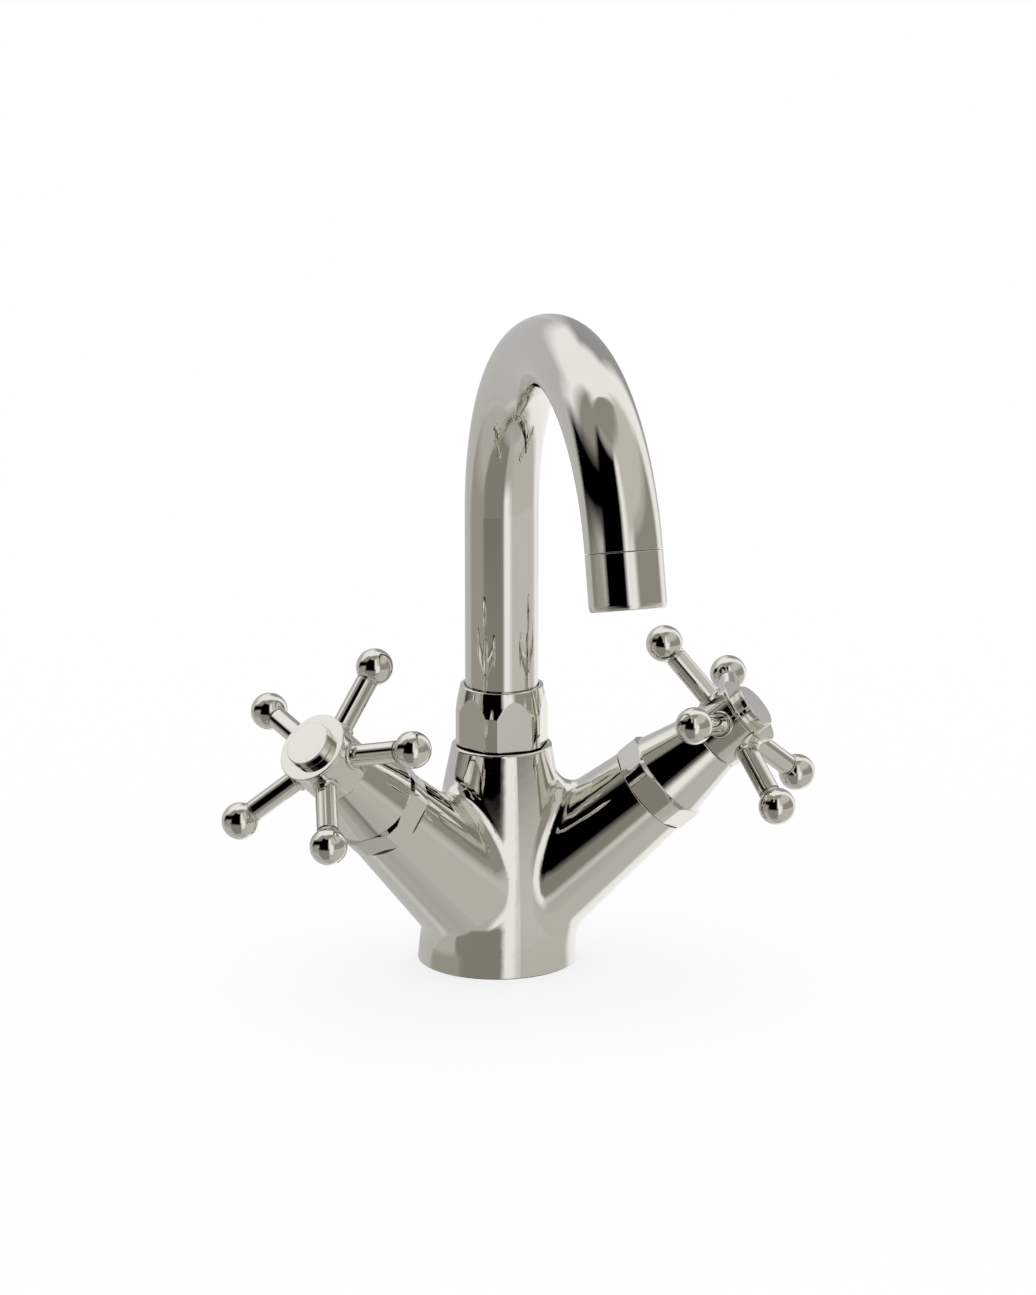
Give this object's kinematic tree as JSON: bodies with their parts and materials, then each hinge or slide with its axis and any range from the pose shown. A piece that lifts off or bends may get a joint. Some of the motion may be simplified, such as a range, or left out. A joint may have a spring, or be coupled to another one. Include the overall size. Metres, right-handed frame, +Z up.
{
  "type": "basin mixer tap",
  "caption": "Deck-mounted basin mixer with a swivelling U-shaped spout and cross handles with ball-ended spokes on swept arms, in polished nickel.",
  "frame": {"origin": "centre of the foot's underside, on the basin deck", "axes": "+Z up, the spout reaches towards -Y, the left handle (hot) is towards -X"},
  "size_m": [0.1844, 0.1594, 0.2653],
  "materials": {
    "nickel": "polished nickel",
    "brass": "turned",
    "steel": "zinc plated",
    "rubber": "matte",
    "plastic": "moulded",
    "ceramic": "lapped"
  },
  "bodies": {
    "tap_body": {"body": "nickel", "spout_nut": "nickel", "slide_ring": "plastic", "base_gasket": "rubber", "fixing_stud": "steel", "rubber_horseshoe": "rubber", "steel_horseshoe": "steel", "fixing_nut": "brass", "left_headwork": "brass", "left_headwork_washer": "rubber", "left_seat_seal": "rubber", "left_fixed_disc": "ceramic", "left_bonnet": "nickel", "right_headwork": "brass", "right_headwork_washer": "rubber", "right_seat_seal": "rubber", "right_fixed_disc": "ceramic", "right_bonnet": "nickel"},
    "spout": {"spout_tube": "nickel", "spout_foot": "brass", "spout_o_ring_lower": "rubber", "spout_o_ring_upper": "rubber", "split_ring": "steel", "outlet_ferrule": "brass", "aerator_housing": "nickel", "aerator_washer": "rubber", "aerator_insert": "plastic", "aerator_screen": "steel"},
    "left_handle": {"left_hub": "nickel", "left_cap": "nickel", "left_handle_screw": "steel", "left_spindle": "brass", "left_moving_disc": "ceramic", "left_spindle_o_ring_lower": "rubber", "left_spindle_o_ring_upper": "rubber", "left_circlip": "steel", "left_spoke_1": "nickel", "left_spoke_2": "nickel", "left_spoke_3": "nickel", "left_spoke_4": "nickel", "left_spoke_5": "nickel"},
    "right_handle": {"right_hub": "nickel", "right_cap": "nickel", "right_handle_screw": "steel", "right_spindle": "brass", "right_moving_disc": "ceramic", "right_spindle_o_ring_lower": "rubber", "right_spindle_o_ring_upper": "rubber", "right_circlip": "steel", "right_spoke_1": "nickel", "right_spoke_2": "nickel", "right_spoke_3": "nickel", "right_spoke_4": "nickel", "right_spoke_5": "nickel"}
  },
  "joints": [
    {"name": "spout_swivel", "type": "hinge", "parent": "tap_body", "child": "spout", "pos_m": [0, -0.0046, 0.09], "axis": [0, 0, 1], "continuous": true},
    {"name": "left_handle_turn", "type": "hinge", "parent": "tap_body", "child": "left_handle", "pos_m": [0, 0.001, 0.014], "axis": [-0.6604, -0.363, 0.6574], "range_deg": [0, 90]},
    {"name": "right_handle_turn", "type": "hinge", "parent": "tap_body", "child": "right_handle", "pos_m": [0, 0.001, 0.014], "axis": [0.6604, -0.363, 0.6574], "range_deg": [0, 90]}
  ]
}
